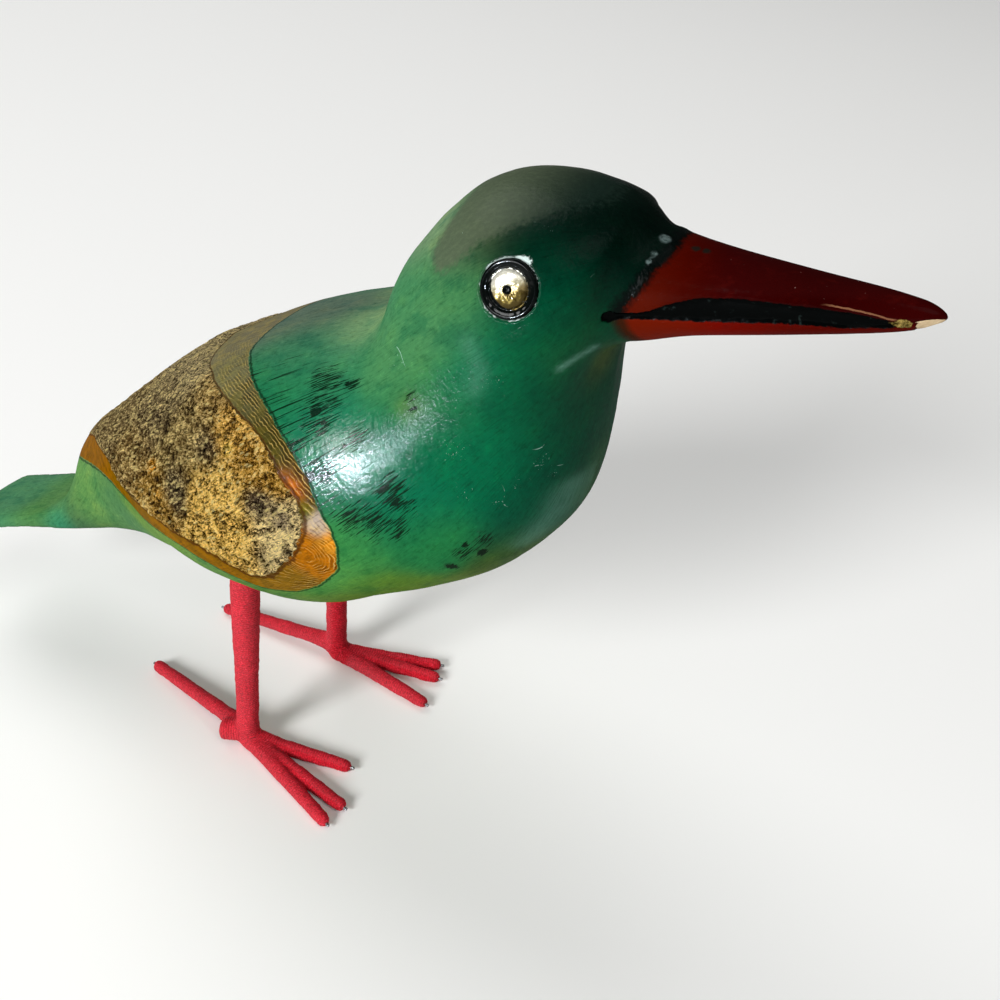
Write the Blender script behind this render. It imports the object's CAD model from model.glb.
"""A carved wooden bird, painted in glossy green glaze, with bark left on its back.

Its legs are wire wrapped in red thread and its eyes are brass tacks. Shapes are worked out in
millimetres, with x = 0 between the feet, and moved to the row frame in metres at the end.
"""

import math
from functools import partial
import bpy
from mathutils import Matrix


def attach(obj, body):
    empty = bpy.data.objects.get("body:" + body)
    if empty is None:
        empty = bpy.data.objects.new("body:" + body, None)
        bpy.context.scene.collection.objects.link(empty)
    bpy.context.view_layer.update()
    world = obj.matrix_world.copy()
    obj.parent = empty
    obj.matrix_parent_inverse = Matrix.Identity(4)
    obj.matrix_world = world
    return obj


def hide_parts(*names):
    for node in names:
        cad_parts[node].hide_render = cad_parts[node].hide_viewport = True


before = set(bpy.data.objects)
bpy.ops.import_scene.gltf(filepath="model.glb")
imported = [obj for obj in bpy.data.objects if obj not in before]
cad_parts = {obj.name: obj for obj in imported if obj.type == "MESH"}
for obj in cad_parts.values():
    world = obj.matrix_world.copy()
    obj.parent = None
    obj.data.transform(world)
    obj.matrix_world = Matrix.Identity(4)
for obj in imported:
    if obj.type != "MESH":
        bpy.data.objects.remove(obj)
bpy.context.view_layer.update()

from types import SimpleNamespace

import bmesh
import bpy
import numpy as np
from bpy.props import FloatProperty, FloatVectorProperty, PointerProperty
from mathutils import Matrix, Vector, noise
from mathutils.bvhtree import BVHTree

bl_info = {
    "name": "Carved bird with bark",
    "version": (1, 0, 0),
    "blender": (4, 5, 0),
    "location": "3D View > Sidebar > Bird",
    "description": "Builds a painted wooden bird, its wrapped wire legs and its tack eyes",
    "category": "Add Mesh",
}

MM = 0.001
ROW_SHIFT = -16.82

# The bird's own axis starts above its feet and rises towards its head, and the beak has its own.
AXIS_START = (0, 0, 75.0)
AXIS_PITCH = math.radians(42)
BEAK_START = (80.0, 0, 135.5)
BEAK_PITCH = math.radians(7)

# Sections across the axis: distance, back, belly, half width, widest height, top and bottom squareness.
TORSO = dict(start=AXIS_START, pitch=AXIS_PITCH, rear_cap=3, front_cap=26, stations=(
    (-104, 33.5, 29.2, 14, 31.5, 4, 4), (-80, 24.3, 19.5, 12.5, 22, 4, 4),
    (-70, 20.8, 14.4, 12, 17, 3.6, 4), (-62, 21, 10.5, 12.5, 14, 3, 3),
    (-55, 24.5, 7, 13, 12, 2.4, 2.4), (-49, 28.5, 2, 13.5, 12, 2, 2), (-41, 30, -4, 15.5, 12, 2, 2),
    (-35, 31, -9, 18, 11, 2, 2), (-22, 36, -19, 24.5, 8, 2, 2), (-11, 38, -26.5, 31.5, 6, 2, 2),
    (1, 34, -34, 36.3, 1, 2, 2), (10, 28.8, -37.5, 37.4, -6, 2.2, 2),
    (20, 25.3, -39.5, 37.4, -9, 2.4, 2), (32, 21.2, -42.8, 37, -10, 2.4, 2),
    (44, 16.8, -44.8, 34.2, -11, 2.3, 2), (56, 12.8, -44.3, 30, -11, 2.1, 2),
    (68, 19, -38, 26, -8, 2, 2), (82, 21.3, -25.5, 24, -3, 2, 2), (96, 18.2, -14.6, 23.3, -0.5, 2, 2),
    (110, 8.5, -9, 20.5, -1, 2, 2),
))
BEAK = dict(start=BEAK_START, pitch=BEAK_PITCH, rear_cap=2, front_cap=4, stations=(
    (-24, 16, -12.5, 18, 0, 2.2, 2.2), (-10, 14, -10.6, 14.5, 0, 2.2, 2.2),
    (0, 11.6, -9.1, 11.4, 0, 2.2, 2.2), (12, 8.5, -7.9, 8.8, -0.5, 2.2, 2.2),
    (30, 5.3, -5.9, 5.8, -1, 2.2, 2.2), (44, 2.9, -4.1, 3.5, -1, 2, 2),
    (52.5, 0.8, -2.2, 1.6, -0.6, 2, 2),
))

# The limb that the bird was carved from, with the bark on it: distance along the axis and radius.
LIMB_FRONT = 42.0
LIMB_PROFILE = ((-68, 68), (-56, 38), (LIMB_FRONT, 36.9), (54, 66.9))
LIMB_DROP, LIMB_ARC, LIMB_CORNER = 8.0, 36.5, 0.25

# Without this the crust of the bark would come out a little different every time.
BARK_SEED = 4

# Growth rings are this far apart, and close round in ovals at the lower corner of the bared wood.
RING_STEP = 0.22
OVAL_CENTRE, OVAL_REACH, OVAL_RISE = (31, 36, 80.5), 5.5, 1.7

# Outlines on the limb, as distance along the axis and angle round from the middle of the back.
BARK_OUTLINE = (
    (-54, 0), (-47, 5), (-41, 10), (-31, 24), (-22.5, 36), (-16, 50), (-8, 63), (-3, 71), (1, 78),
    (4.6, 85), (7, 91), (10, 100), (15, 104), (23, 102), (29, 98), (33.5, 93), (35, 87), (35, 82),
    (34.7, 74), (34.5, 67), (32, 59), (28, 52), (23, 39), (18, 28), (15, 14), (14, 0),
)
BARE_OUTLINE = (
    (-59, 0), (-48, 13), (-35, 28), (-26, 41), (-20, 54), (-12, 67), (-7, 75), (-3, 82), (0.5, 90),
    (3.5, 98), (8, 107), (15, 115), (21, 116), (30, 113), (35, 106), (37, 100), (37.5, 95), (39.5, 84),
    (39, 75), (37, 62), (31, 42), (27, 27), (27, 0),
)

# The mouth's black stripe, the paint's edge round the beak's root and the chip, in side view of the beak.
MOUTH_OUTLINE = (
    (-1.6, -2.9), (-1.7, -1.9), (-1.1, -1.25), (-0.3, -1.2), (0.5, -1.75), (4, -1.65), (6, -1.2),
    (9, 0.1), (14, 1.4), (20, 1.6), (30, 0.8), (38, 0.1), (46.5, -1.5), (47, -2.1), (38, -2.8),
    (30, -2.5), (24, -2.5), (14, -2.9), (6, -2.95), (4, -2.9), (0.5, -2.95), (-0.3, -3.35),
    (-1.1, -3.35),
)
LACQUER_EDGE = (
    (8.6, 30), (8.6, 8.6), (7.6, 7), (6, 5.9), (5, 4.1), (4.3, 2.5), (2.4, 0.7), (1.4, -0.7), (0.4, -3),
    (0.7, -5.6), (1.8, -7.5), (3.6, -10), (6, -30),
)
CHIP_LINE, CHIP_SLANT, CHIP_DEPTH = ((47.8, -3.1), (54, -0.1)), 0.9, 2.2

# The mouth's depth and its corner on the right side, and where the beak's drawn-out tip starts.
GROOVE_DEPTH, GAPE, TIP_FROM = 0.5, (76.5, -14, 126.5), 46.0

# Radii of a leg in mm, then how far bare wire sticks out, how flat it stands and how deep it is set in.
LEG = dict(ankle=3.0, shin=2.75, hip=3.3, toe_root=2.0, toe_tip=1.55, wire=0.36, stub=0.9, flat=0.25,
           in_body=12.0)

# Each toe's heading in degrees, its reach and how far it starts above the floor.
LEGS = {
    "right_leg": dict(foot=(-1, -19), lean=(3.5, 0), hip_height=52,
                      toes=((-14, 34, 0), (-24, 35, 0), (7, 28, 0), (164, 39, 2.5)),
                      offcut=(205, 7.2, -0.2)),
    "left_leg": dict(foot=(1, 19), lean=(2, 0), hip_height=52,
                     toes=((7, 30, 0), (17, 29, 0), (-12, 32, 0), (179, 38, 2.5)), offcut=None),
}

EYE_AT, EYE_TURN, EYE_LIFT, EYE_RADIUS = (65, 21.6, 138.6), math.radians(5), math.radians(17), 5.05

# An eye's outline from its buried edge in to its middle: distance out and height, in mm.
EYE_OUTLINE = (
    (5.2, -1.6), (5.2, 0.05), (5.08, 0.34), (4.85, 0.46), (4.6, 0.42), (4.35, 0.3), (4.15, 0.3),
    (3.95, 0.26), (3.75, 0.04), (3.6, -0.08), (3.48, -0.08), (3.36, 0.05), (3.25, 0.3), (3.0, 0.55),
    (2.5, 0.76), (1.9, 0.9), (1.3, 0.96), (0.95, 0.94), (0.72, 0.8), (0.5, 0.55), (0.25, 0.5),
)


def linear(hex_colour):
    """An sRGB hex colour as the linear values that Blender's sockets take."""
    parts = [int(hex_colour[i:i + 2], 16) / 255 for i in (0, 2, 4)]
    return tuple(c / 12.92 if c <= 0.04045 else ((c + 0.055) / 1.055) ** 2.4 for c in parts)


# Where each tint of glaze was brushed on: place on the right side, reach in mm and colour.
GLAZE_TINTS = {
    "crown": ((66, 0, 151), 11, "0a1a14"),
    "forehead": ((80, 4, 149), 8, "000b06"),
    "brow": ((76, 12, 147), 7, "000e08"),
    "temple": ((69, 19, 144), 6, "001f14"),
    "lore": ((78, 14, 139), 6, "001a12"),
    "back of the crown": ((56, 8, 149), 7, "2a3a2c"),
    "nape spot": ((55, 16, 144), 5, "2c3d28"),
    "nape side": ((52, 17, 141), 4, "425c42"),
    "nape": ((43, 6, 141), 7, "64805c"),
    "behind the eye": ((54, 21, 134), 6, "386e42"),
    "cheek": ((74, 20, 138), 6, "00402a"),
    "mouth corner": ((76, 18, 133), 5, "00482a"),
    "below the eye": ((68, 23, 133), 6, "00462a"),
    "gape": ((75, 18, 127), 4, "16502e"),
    "chin": ((77, 6, 122), 3.5, "444a14"),
    "jaw": ((60, 24, 125), 6, "045c3e"),
    "neck back": ((41, 17, 129), 8, "347048"),
    "neck": ((49, 22, 127), 7, "427448"),
    "neck side": ((45, 23, 121), 7, "407648"),
    "neck foot": ((53, 26, 118), 6, "2a6a3c"),
    "ochre spot": ((49.5, 27, 114.5), 2.4, "56662c"),
    "neck front": ((57, 25, 121), 4, "006242"),
    "neck hollow": ((29, 9, 119), 6, "6a8c60"),
    "back hump": ((20, 3, 116), 9, "4c6050"),
    "hump side": ((22, 16, 113), 7, "2f6a4a"),
    "shoulder top": ((28, 22, 114), 6, "2a6e48"),
    "shoulder": ((22, 27, 110), 8, "16623e"),
    "wing bow": ((34, 31, 104), 8, "17684a"),
    "side": ((52, 28, 112), 7, "065f3c"),
    "lower side": ((48, 31, 98), 9, "025e40"),
    "breast": ((61, 25, 108), 9, "005838"),
    "breast front": ((68, 22, 121), 8, "00482c"),
    "throat side": ((74, 17, 118), 7, "06402a"),
    "throat": ((79, 5, 117), 9, "0a3c28"),
    "breast middle": ((74, 12, 103), 9, "003e2a"),
    "breast edge": ((77, 0, 92), 8, "23482a"),
    "lower breast": ((70, 14, 88), 8, "024630"),
    "low front": ((66, 14, 80), 6, "3c5418"),
    "belly side": ((54, 28, 87), 6, "1c6a38"),
    "flank": ((40, 33, 85), 6, "2f763a"),
    "under the bark": ((34, 32, 76), 6, "3f8240"),
    "belly edge": ((42, 27, 70), 7, "4a6e20"),
    "belly": ((40, 10, 62), 12, "546c20"),
    "rear belly": ((10, 14, 62), 13, "507838"),
    "low rump": ((-12, 22, 64), 9, "587c34"),
    "rump": ((-34, 14, 58), 8, "447044"),
    "tail root": ((-44, 10, 56), 8, "548040"),
    "tail top": ((-66, 4, 47), 10, "4c7a40"),
    "tail edge": ((-60, 13, 42), 4, "1c7a5c"),
    "tail end": ((-92, 4, 30), 14, "3f7650"),
    "under the tail": ((-50, 4, 36), 12, "2c4c3a"),
}

# Tones of the bared wood round the bark, and of the bark, in the same way.
BARE_TINTS = {
    "top strip": ((0, 0, 107), 10, "646048"),
    "top strip side": ((7, 21, 107), 5, "5e5c40"),
    "upper band": ((15, 28, 106), 5, "4a482c"),
    "middle band": ((22, 33, 103), 5, "3e3a16"),
    "front band": ((30, 35, 98), 3.5, "46381a"),
    "orange patch": ((28.3, 36, 95.5), 2.2, "c86400"),
    "olive patch": ((31, 36, 91.5), 1.6, "5c5c14"),
    "worn patch": ((34.5, 36, 89), 1.6, "a4968a"),
    "amber corner": ((32, 36, 81.5), 4, "8e5606"),
    "amber edge": ((37, 36, 85), 2, "b87c20"),
    "corner foot": ((26, 34, 72), 4, "6c5010"),
    "lower band": ((6, 37, 75), 7, "6c4a00"),
    "rear band": ((-16, 30, 75), 7, "684800"),
    "rear corner": ((-38, 16, 75), 6, "6c4600"),
}
BARK_TINTS = {
    "top": ((-8, 6, 106), 12, "7c7054"),
    "upper side": ((-15, 19, 94), 6, "584a34"),
    "middle": ((-1, 30, 96), 6, "6c5a36"),
    "front top": ((4, 24, 104), 5, "806638"),
    "front edge": ((13, 31, 101), 4, "b08840"),
    "front side": ((18, 34, 98), 4, "98722e"),
    "dark knot": ((7, 32, 95), 3.0, "40362e"),
    "second knot": ((-1, 34, 85), 2.8, "3c3228"),
    "gold patch": ((11, 35, 88), 5, "bc984c"),
    "low gold": ((17, 37, 81), 3.5, "b89448"),
    "front knot": ((21, 37, 90), 2.2, "4a3e34"),
    "low knot": ((27, 37, 87.5), 1.4, "6a5c4c"),
    "low front": ((25, 37, 82), 4, "b8a476"),
    "lowest knot": ((22, 36.5, 78.5), 1.6, "685a44"),
    "rear side": ((-18, 27, 82), 5, "66502c"),
    "rear": ((-34, 12, 84), 8, "5a4a30"),
    "low rear": ((-8, 33, 80), 4, "8a6a30"),
    "flake": ((-9, 30, 85), 0.9, "d0902c"),
    "second flake": ((-6, 33, 81), 0.9, "c89030"),
    "third flake": ((13, 33, 98), 1.0, "c8b050"),
}
TINTS = {"glaze": GLAZE_TINTS, "bare_tint": BARE_TINTS, "bark_tint": BARK_TINTS}

# Patches of torn grain, filled with dark paint: place on the side and reach in mm.
TORN_GRAIN = (
    ((30, 24, 113), 3.6), ((31, 28, 110), 4.0), ((32, 30, 107.5), 3.2), ((36, 24, 113.5), 2.2),
    ((40, 30, 107), 2.4), ((48, 31, 98.5), 3.6), ((50, 31, 96), 2.6), ((45, 33, 92), 4.2),
    ((41, 34.5, 92), 3.4), ((49, 32, 91), 3.0), ((60, 24, 84), 2.4), ((63, 23, 87), 2.2),
    ((35, 33, 100), 2.6), ((49, 26, 116), 1.4),
)
TORN_SHARE = 0.75 * math.sqrt(2)

# Deeper gouges in the right side, nearly black inside: place, length along the axis and width in mm.
GOUGES = (
    ((46.5, -31.9, 98.8), 3.4, 0.7), ((48.8, -31.5, 96.3), 2.8, 0.6), ((30.8, -28.9, 109), 1.6, 1.1),
    ((32.8, -30, 107.6), 1.7, 0.6), ((35, -24.3, 113.9), 1.4, 0.7), ((32.4, -34.8, 98.6), 2.2, 1.0),
    ((57, -24, 79.9), 0.9, 2.0), ((60.2, -24.7, 86.6), 1.0, 1.0), ((62.6, -22, 83.6), 1.4, 1.1),
    ((49.9, -26.9, 114.1), 1.8, 0.4), ((37.2, -31.5, 104.5), 3.2, 0.4), ((36, -33.5, 101.8), 4.0, 0.3),
)

# Patches of small white scuffs and scratches in the varnish: place and reach in mm.
SCUFFS = (
    ((64, -24, 122), 2.6), ((58, -26.4, 107.5), 3.0), ((71.8, -17.6, 105.5), 2.6),
    ((68, -20.6, 101), 2.2), ((65.3, -22.5, 96.6), 2.0), ((73, -15, 101.2), 2.2), ((52, -16, 144), 2.0),
    ((68, -14, 146), 2.4), ((54.5, -26.5, 113), 3.2), ((36, -31, 104), 4.0), ((60, -25, 99), 2.5),
    ((44, -24, 121), 2.5), ((76, -14, 140), 2.0),
)

# The outline of the dark cap in side view, as distance forward and height in mm.
CAP_OUTLINE = (
    (46.5, 138.5), (50, 136.8), (53.4, 139.4), (57.3, 143.8), (63.3, 147.3), (68.4, 149.4), (75, 150.4),
    (82, 153), (60, 158), (50.5, 150), (48, 144),
)

# Where the varnish lies thin and pale on the right side: lines in side view, reach in mm and strength.
PALE_RUBS = (
    (((74.2, 124.9), (76.2, 126.4), (77.8, 127.2)), 0.55, 0.5),
    (((59, 128), (61.5, 124), (60.5, 120)), 1.7, 0.16), (((69, 84), (73, 90), (75, 96)), 2.2, 0.3),
)

# Where the real bird's outline stands in or out of its blank: place, reach and move in mm, on both sides.
OUTLINE_NUDGES = (
    ((78, 8, 118.5), (7, 9, 7), (-1.6, 0, 0)), ((83, 4, 127.6), (8, 8, 2.2), (0, 0, -1.2)),
    ((-12, 7, 103.5), (13, 14, 9), (0.5, 0, -1.4)), ((71.5, 5, 78), (8, 10, 8), (-0.7, 0, 0.9)),
    ((102, 0, 145), (22, 9, 4.5), (0, 0, -0.6)), ((44, 4, 143), (9, 12, 8), (0.8, 0, 0)),
    ((37.5, 11, 127), (5, 12, 5), (-0.7, 0, 0)),
)

# Lumps of filler at the beak's root: place, reach and height in mm.
FILLER_LUMPS = (
    ((85.2, -3.4, 145.7), 1.7, 0.45), ((84.6, -6.6, 143.9), 1.0, 0.35), ((84.2, -7.9, 142.9), 0.9, 0.35),
    ((90.6, -2.9, 145.1), 1.3, 0.2), ((92.4, -2.6, 145), 1.2, 0.2), ((86, 4.5, 145.8), 1.6, 0.4),
    ((84.3, 8.2, 142.6), 1.0, 0.35),
)

# The light streak of thin varnish along the mouth's upper edge, and the olive dab at its end.
PALE_STREAK = ((34.3, 1.3), (37.9, 0.75), (41, 0.2), (44.4, -0.75))
OLIVE_DAB, OLIVE_REACH = (45.9, -1.5), (1.9, 0.85)

# Gloss of the varnish, and the place on the shoulder where it is most.
LEAST_GLOSS, SHOULDER_GLOSS, SHOULDER, SHOULDER_REACH = 0.08, 0.55, (36.6, 32.3, 102.2), 8.4

# The photograph's camera: degrees round from the side and above level, roll, distance, lens and aim.
CAMERA_AZIMUTH, CAMERA_ELEVATION, CAMERA_ROLL = 24, 34, math.radians(3)
CAMERA_DISTANCE, CAMERA_LENS, CAMERA_SENSOR, CAMERA_AIM = 0.3, 43.2, 36, (22.4, 37.3, 53.1)

# Each light's degrees round from the side and above level, its distance and its width in metres.
LIGHTS = {
    "key": (-14, 26, 1.8, 0.7), "spark": (-8, 4, 1.8, 0.1),
    "sky": (-120, 50, 2.4, 1.8), "fill": (60, 55, 2.8, 2.0),
}
LIT_PLACE = (0.02, 0, 0.08)

# Further off than any point is.
FAR_OFF = 1e9


def section_sizes(stations, s):
    """Every size of the sections at the distances s, on a smooth curve through the stations."""
    table = np.array(stations, float)
    at, sizes = table[:, 0], table[:, 1:]
    last = len(at) - 1
    before = np.clip(np.arange(last + 1) - 1, 0, last)
    after = np.clip(np.arange(last + 1) + 1, 0, last)
    slopes = (sizes[after] - sizes[before]) / (at[after] - at[before])[:, None]
    i = np.clip(np.searchsorted(at, s, side="left") - 1, 0, last - 1)
    span = (at[i + 1] - at[i])[:, None]
    t = np.clip((s - at[i])[:, None] / span, 0, 1)
    return ((2 * t**3 - 3 * t**2 + 1) * sizes[i] + (t**3 - 2 * t**2 + t) * span * slopes[i]
            + (3 * t**2 - 2 * t**3) * sizes[i + 1] + (t**3 - t**2) * span * slopes[i + 1])


def smooth_step(low, high, value):
    t = np.clip((value - low) / (high - low), 0, 1)
    return t * t * (3 - 2 * t)


def opened(distance, length):
    """How far a rounded end has opened at a distance from its tip."""
    k = 1 - np.clip(distance / length, 0, 1)
    return np.sqrt(np.clip(1 - k * k, 0, 1))


def far_from(points, place):
    return np.linalg.norm(points - np.array(place), axis=1)


def near(points, place, reach):
    """1 at a place, falling to 0 over its reach."""
    return np.exp(-np.sum(((points - np.array(place)) / reach)**2, 1))


def patches(points, places, share=1.0):
    """1 in the middle of each of several patches, falling to 0 over a share of its reach."""
    return np.max([near(points, place, reach * share) for place, reach in places], axis=0)


def on_one_side(points):
    """The points with both halves of the bird laid on its left one."""
    return np.column_stack([points[:, 0], np.abs(points[:, 1]), points[:, 2]])


def along(points, form):
    """Distance along a form's own line and height above it."""
    x, z = points[:, 0] - form["start"][0], points[:, 2] - form["start"][2]
    c, s = math.cos(form["pitch"]), math.sin(form["pitch"])
    return x * c + z * s, z * c - x * s


def placed(form, distance, across, up):
    """Points at distances along a form's own line, across it and up from it."""
    x, y, z = form["start"]
    c, s = math.cos(form["pitch"]), math.sin(form["pitch"])
    return np.column_stack([x + distance * c - up * s, y + across, z + distance * s + up * c])


def ball(around, rows):
    """A ball to draw a form from, with its points."""
    bm = bmesh.new()
    bmesh.ops.create_uvsphere(bm, u_segments=around, v_segments=rows, radius=1)
    return bm, np.array([v.co for v in bm.verts])


def set_points(bm, points):
    for vertex, point in zip(bm.verts, points):
        vertex.co = point


def points_of(mesh):
    points = np.empty(len(mesh.vertices) * 3)
    mesh.vertices.foreach_get("co", points)
    return points.reshape(-1, 3)


def lofted(form, around, rows):
    """A ball drawn out through a form's sections, then pitched up and put in its place."""
    bm, points = ball(around, rows)
    start, end = form["stations"][0][0], form["stations"][-1][0]
    s = start + (points[:, 2] + 1) / 2 * (end - start)
    back, belly, half, waist, top, bottom = section_sizes(form["stations"], s).T
    wide = opened(s - start, form["rear_cap"]) * opened(end - s, form["front_cap"])
    angle = np.arctan2(points[:, 1], points[:, 0])
    upper = angle >= 0
    square = np.where(upper, top, bottom)
    reach = (np.abs(np.cos(angle))**square + np.abs(np.sin(angle))**square)**(-1 / square)
    middle = (back + belly) / 2
    tall = np.where(upper, back - waist, waist - belly)
    up = middle + (waist - middle) * wide + tall * wide * reach * np.sin(angle)
    set_points(bm, placed(form, s, half * wide * reach * np.cos(angle), up))
    return bm


def rod(start, end, profile, around, spacing):
    """A round rod between two points, drawn from a ball. profile is (distance, radius) pairs."""
    distances, radii = np.array(profile, float).T
    length = distances[-1] - distances[0]
    bm, points = ball(around, max(12, int(length / spacing)))
    at = distances[0] + np.arccos(np.clip(-points[:, 2], -1, 1)) / math.pi * length
    flat = np.hypot(points[:, 0], points[:, 1])
    width = np.interp(at, distances, radii)
    width[flat < 1e-6] = 0
    wide = width / np.maximum(flat, 1e-9)
    set_points(bm, np.column_stack([points[:, :2] * wide[:, None], at]))
    turn = (end - start).normalized().to_track_quat("Z", "Y").to_matrix().to_4x4()
    bmesh.ops.transform(bm, matrix=Matrix.Translation(start) @ turn, verts=bm.verts)
    return bm


def joined(forms):
    """One mesh of forms, which may overlap."""
    together = bmesh.new()
    for form in forms:
        part = bpy.data.meshes.new("part")
        form.to_mesh(part)
        form.free()
        together.from_mesh(part)
        bpy.data.meshes.remove(part)
    mesh = bpy.data.meshes.new("forms")
    together.to_mesh(mesh)
    together.free()
    return mesh


def merged_skin(forms, voxel):
    """One closed skin round forms that overlap."""
    mesh = joined(forms)
    holder = bpy.data.objects.new("forms", mesh)
    bpy.context.scene.collection.objects.link(holder)
    remesh = holder.modifiers.new("skin", "REMESH")
    remesh.mode = "VOXEL"
    remesh.voxel_size = voxel
    skin = bpy.data.meshes.new_from_object(holder.evaluated_get(bpy.context.evaluated_depsgraph_get()))
    bpy.data.objects.remove(holder)
    bpy.data.meshes.remove(mesh)
    return skin


def edge_pairs(mesh):
    pairs = np.empty(len(mesh.edges) * 2, np.int64)
    mesh.edges.foreach_get("vertices", pairs)
    return pairs.reshape(-1, 2)


def relaxed(points, edges, rounds, weight=1.0, pulls=(0.5, -0.52)):
    """Points drawn towards their neighbours and back, which takes out steps but not the shape. Drawn
    without the way back they round a crease, where weight is high."""
    ends, others = edges.T.ravel(), edges[:, ::-1].T.ravel()
    number = np.bincount(ends, minlength=len(points))[:, None]
    weight = np.reshape(weight, (-1, 1))
    for pull in pulls * rounds:
        total = np.column_stack([np.bincount(ends, points[others, k], len(points)) for k in range(3)])
        points = points + pull * weight * (total / number - points)
    return points


def refined(mesh, chosen):
    """The mesh with the faces round the chosen vertices cut in four."""
    bm = bmesh.new()
    bm.from_mesh(mesh)
    picked = [e for e in bm.edges if chosen[e.verts[0].index] and chosen[e.verts[1].index]]
    cut_in_four(bm, picked)
    bm.to_mesh(mesh)
    bm.free()
    return mesh


def cut_in_four(bm, edges):
    bmesh.ops.subdivide_edges(bm, edges=edges, cuts=1, use_grid_fill=True)
    bmesh.ops.triangulate(bm, faces=[f for f in bm.faces if len(f.verts) > 4])


def off_line(points, line):
    """Distance from a line through several corners."""
    line = np.array(line, float)
    best = np.full(len(points), FAR_OFF)
    for a, b in zip(line, line[1:]):
        edge = b - a
        t = np.clip(((points - a) @ edge) / (edge @ edge), 0, 1)
        best = np.minimum(best, far_from(points, a + t[:, None] * edge))
    return best


def inside_distance(points, outline, mirrored=False):
    """Signed distance from an outline, above 0 inside it. A mirrored one is closed over the back."""
    line = np.array(outline, float)
    ring = np.vstack([line, (line * (1, -1))[::-1]]) if mirrored else line
    best = off_line(points, line if mirrored else np.vstack([line, line[:1]]))
    inside = np.zeros(len(points), bool)
    for a, b in zip(ring, np.roll(ring, -1, 0)):
        crosses = (a[1] > points[:, 1]) != (b[1] > points[:, 1])
        if a[1] != b[1]:
            at = a[0] + (points[:, 1] - a[1]) / (b[1] - a[1]) * (b[0] - a[0])
            inside ^= crosses & (points[:, 0] < at)
    return np.where(inside, best, -best)


def beside_line(points, line):
    """Signed distance to the right of an open line that runs down through the points."""
    x, y = np.array(sorted(line, key=lambda corner: corner[1]), float).T
    best = off_line(points, line)
    return np.where(points[:, 0] > np.interp(points[:, 1], y, x), best, -best)


def limb_radius(s):
    return np.interp(s, *np.array(LIMB_PROFILE).T)


def noise_at(points, size, seed=0.0, octaves=3):
    """Soft noise from -1 to 1, whose lumps are about size mm across."""
    shift = Vector((seed, seed * 1.7, -seed))
    return np.array([noise.fractal(Vector(p) / size + shift, 1.0, 2.0, octaves) for p in points])


def chip_heights(points, size, seed=0.0):
    """A flat height from -1 to 1 for each chip, where chips are about size mm across."""
    found = [noise.voronoi(Vector(p) / size + Vector((seed, -seed, seed)))[1][0] for p in points]
    return np.array([noise.cell(centre * 37.7) for centre in found]) * 2 - 1


def normals_of(mesh, points):
    mesh.vertices.foreach_set("co", points.ravel())
    mesh.update()
    normals = np.empty(len(points) * 3, np.float32)
    mesh.vertices.foreach_get("normal", normals)
    return normals.reshape(-1, 3).astype(float)


def set_attributes(mesh, values):
    """Values or colours at each point, for the finish to follow."""
    for name, value in values.items():
        if value.ndim == 1:
            layer = mesh.attributes.new(name, "FLOAT", "POINT")
            layer.data.foreach_set("value", value.astype(np.float32))
        else:
            layer = mesh.attributes.new(name, "FLOAT_COLOR", "POINT")
            rgba = np.column_stack([value, np.ones(len(value))])
            layer.data.foreach_set("color", rgba.astype(np.float32).ravel())


def finished(mesh, points, name, node, material):
    """The piece itself, in metres in the row frame, standing for its CAD node."""
    points = (points + (ROW_SHIFT, 0, 0)) * MM
    mesh.vertices.foreach_set("co", points.ravel())
    for polygon in mesh.polygons:
        polygon.use_smooth = True
    mesh.update()
    mesh.name = name
    mesh.materials.append(material)
    piece = bpy.data.objects.new(name, mesh)
    bpy.context.scene.collection.objects.link(piece)
    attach(piece, "root")
    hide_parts(node)


def new_material(name):
    """A material with nothing in it yet, and the function that adds its nodes."""
    material = bpy.data.materials.new(name)
    material.use_nodes = True
    material.node_tree.nodes.clear()
    return material, partial(add_node, material.node_tree)


def add_node(tree, kind, *values, out=0, stops=(), **settings):
    """Adds a node and gives one of its outputs. values go to its inputs in turn. settings go to the node
    itself or to an input by name or, as in i6, by number. stops are a ramp's places and colours."""
    node = tree.nodes.new("ShaderNode" + kind)
    if stops:
        elements = node.color_ramp.elements
        elements.remove(elements[-1])
        for i, (position, colour) in enumerate(stops):
            element = elements.new(position) if i else elements[0]
            element.position = position
            element.color = (*colour, 1)
    links = dict(enumerate(values))
    for name, value in settings.items():
        if name in node.bl_rna.properties:
            setattr(node, name, value)
        else:
            links[int(name[1:]) if name[1:].isdigit() else name.replace("_", " ")] = value
    for name, value in links.items():
        socket = node.inputs[name]
        if isinstance(value, bpy.types.NodeSocket):
            tree.links.new(value, socket)
        elif socket.type == "RGBA":
            socket.default_value = (*value, 1)
        else:
            socket.default_value = value
    return node.outputs[out] if node.outputs else node


def layered(node, colour, coats):
    """A colour with coats laid over it in turn: each one's share of the surface, and its colour."""
    for share, coat in coats:
        colour = node("Mix", share, i6=colour, i7=coat, data_type="RGBA", out=2)
    return colour


def tinted(node, colour, tint):
    return node("Mix", 1.0, i6=colour, i7=tint, data_type="RGBA", blend_type="MULTIPLY", out=2)


def toned(node, colour, tones):
    """A colour made lighter or darker by a tint where a pattern passes from one value to another."""
    for pattern, start, end, strength, tint in tones:
        share = node("MapRange", pattern, start, end, 0.0, strength, interpolation_type="SMOOTHSTEP")
        colour = layered(node, colour, ((share, tinted(node, colour, tint)),))
    return colour


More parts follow.
